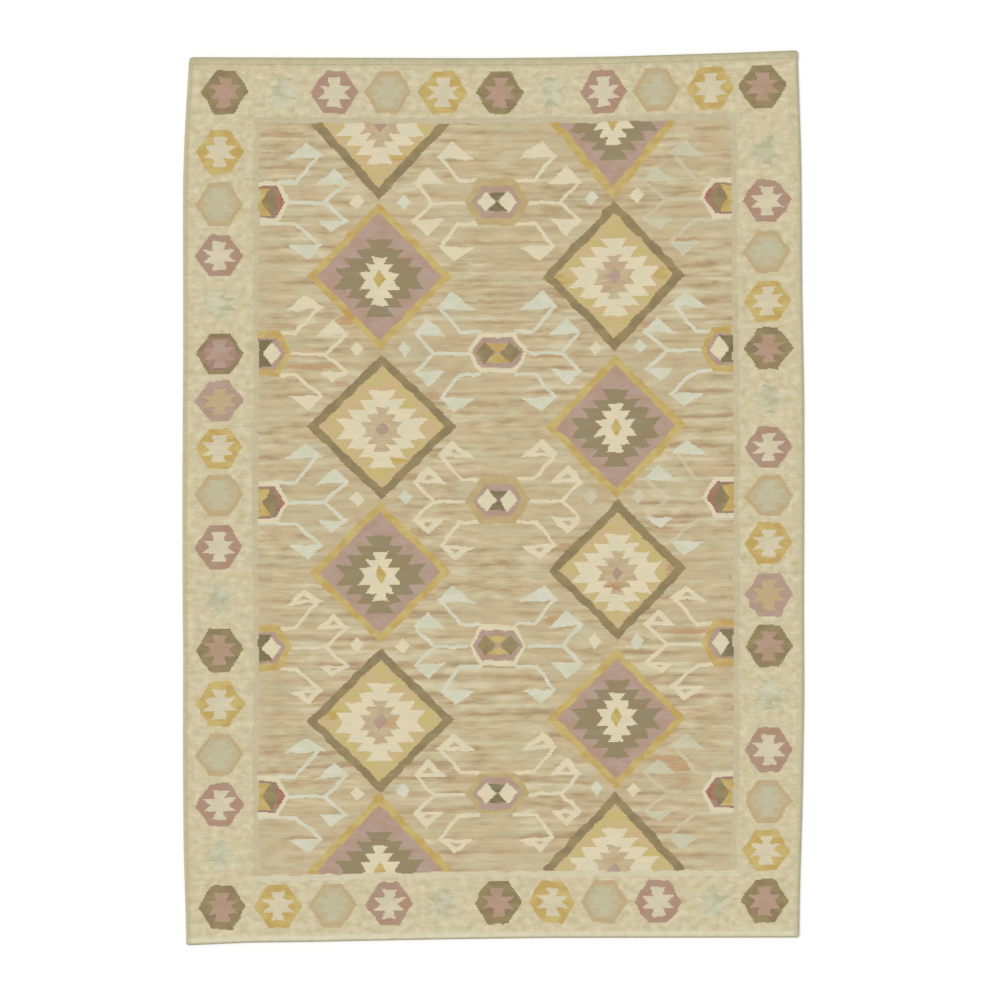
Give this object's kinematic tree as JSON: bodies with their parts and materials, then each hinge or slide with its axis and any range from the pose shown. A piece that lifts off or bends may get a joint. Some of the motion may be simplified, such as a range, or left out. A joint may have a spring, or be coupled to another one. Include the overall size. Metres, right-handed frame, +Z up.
{
  "type": "flat-woven kilim rug",
  "caption": "Rectangular flat-woven rug that lies flat on a floor, with stepped lozenges, a hexagon border, plain end hems and corded selvedges.",
  "frame": {"origin": "centre of the rug's outline box, on the floor under the cloth", "axes": "+Z up from the floor, +Y along the warp and the rug's length, +X across its width"},
  "size_m": [1.6038, 2.3086, 0.0066],
  "materials": {
    "jute_wool_flatweave": "matt, dry jute and wool yarn with a faded tapestry pattern"
  },
  "bodies": {
    "root": {"kilim_rug": "jute_wool_flatweave"}
  },
  "joints": []
}
